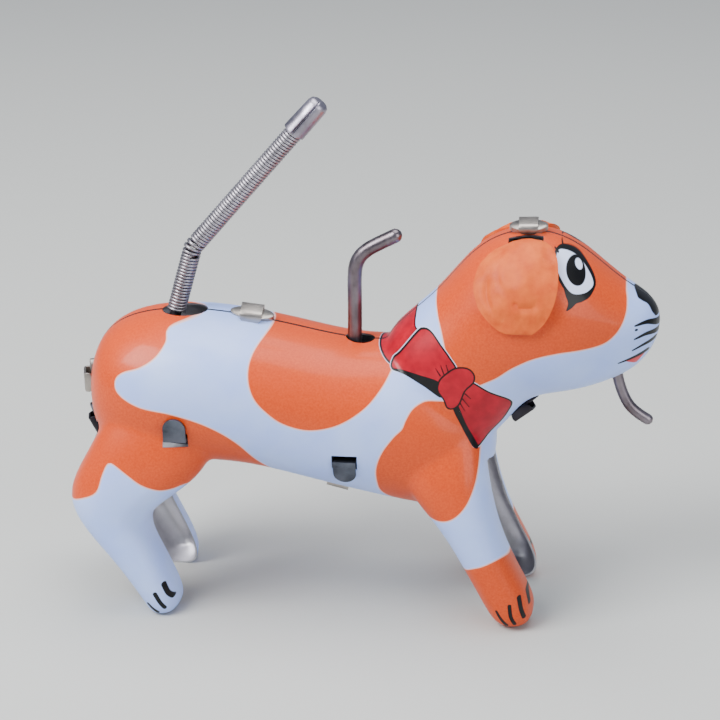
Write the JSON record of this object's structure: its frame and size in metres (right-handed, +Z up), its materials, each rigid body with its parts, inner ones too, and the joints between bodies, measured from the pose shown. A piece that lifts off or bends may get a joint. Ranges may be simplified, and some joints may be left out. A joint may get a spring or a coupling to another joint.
{
  "type": "wind up tin toy dog",
  "caption": "Wind-up tin toy dog with lithographed half shells, vinyl ears, a spring tail on a rod and wire levers, driven by a clockwork motor with a side key.",
  "frame": {"origin": "on the floor, in the plane of the body seam, under the middle of the body", "axes": "+X to the nose, +Y to the dog's left where the key is, +Z up"},
  "size_m": [0.1171, 0.0487, 0.1055],
  "materials": {
    "litho_tin": "gloss",
    "ear_vinyl": "matte",
    "steel_sheet": "satin",
    "steel_wire": "satin",
    "spring_steel": "satin",
    "gear_brass": "satin",
    "bright_tin": "satin"
  },
  "bodies": {
    "body": {"right_shell": "litho_tin", "left_shell": "litho_tin", "right_ear": "ear_vinyl", "left_ear": "ear_vinyl", "right_plate": "steel_sheet", "left_plate": "steel_sheet", "frame_pillars": "steel_sheet", "mainspring": "spring_steel", "spring_post": "steel_sheet", "stop_pin": "steel_wire", "tail_pin": "steel_wire", "tail_return_spring": "spring_steel", "chin_wire": "steel_wire"},
    "winding": {"winding_arbor": "steel_wire", "winding_key": "steel_sheet", "main_gear": "gear_brass", "ratchet_wheel": "steel_sheet", "click": "steel_sheet"},
    "second_wheel": {"second_arbor": "steel_wire", "second_pinion": "gear_brass", "second_gear": "gear_brass"},
    "star": {"star_arbor": "steel_wire", "star_pinion": "gear_brass", "star_wheel": "steel_sheet"},
    "tail": {"tail_lever": "steel_sheet", "tail_rod": "steel_wire", "lower_tail_spring": "spring_steel"},
    "tail_top": {"upper_tail_spring": "spring_steel", "tail_cap": "bright_tin"},
    "stop_lever": {"stop_hub": "steel_sheet", "back_wire": "steel_wire"}
  },
  "joints": [
    {"name": "key_turn", "type": "hinge", "parent": "body", "child": "winding", "pos_m": [-0.02, 0, 0.043], "axis": [0, 1, 0], "continuous": true},
    {"name": "second_turn", "type": "hinge", "parent": "body", "child": "second_wheel", "pos_m": [-0.02931, 0, 0.05058], "axis": [0, 1, 0], "continuous": true},
    {"name": "star_turn", "type": "hinge", "parent": "body", "child": "star", "pos_m": [-0.0335, 0, 0.0415], "axis": [0, 1, 0], "continuous": true},
    {"name": "tail_swing", "type": "hinge", "parent": "body", "child": "tail", "pos_m": [-0.0402, 0, 0.0483], "axis": [0, 1, 0], "range_deg": [0, 14], "stiffness_Nm_per_rad": 0.02, "springref_deg": -9.74},
    {"name": "tail_flex", "type": "hinge", "parent": "tail", "child": "tail_top", "pos_m": [-0.03322, 0, 0.07366], "axis": [0, 1, 0], "range_deg": [-24, 14], "stiffness_Nm_per_rad": 0.03},
    {"name": "stop_swing", "type": "hinge", "parent": "body", "child": "stop_lever", "pos_m": [-0.0016, 0, 0.0465], "axis": [0, 1, 0], "range_deg": [0, 12]}
  ],
  "couplings": [
    {"joint": "second_turn", "follows": "key_turn", "ratio": -3},
    {"joint": "star_turn", "follows": "key_turn", "ratio": 9}
  ]
}
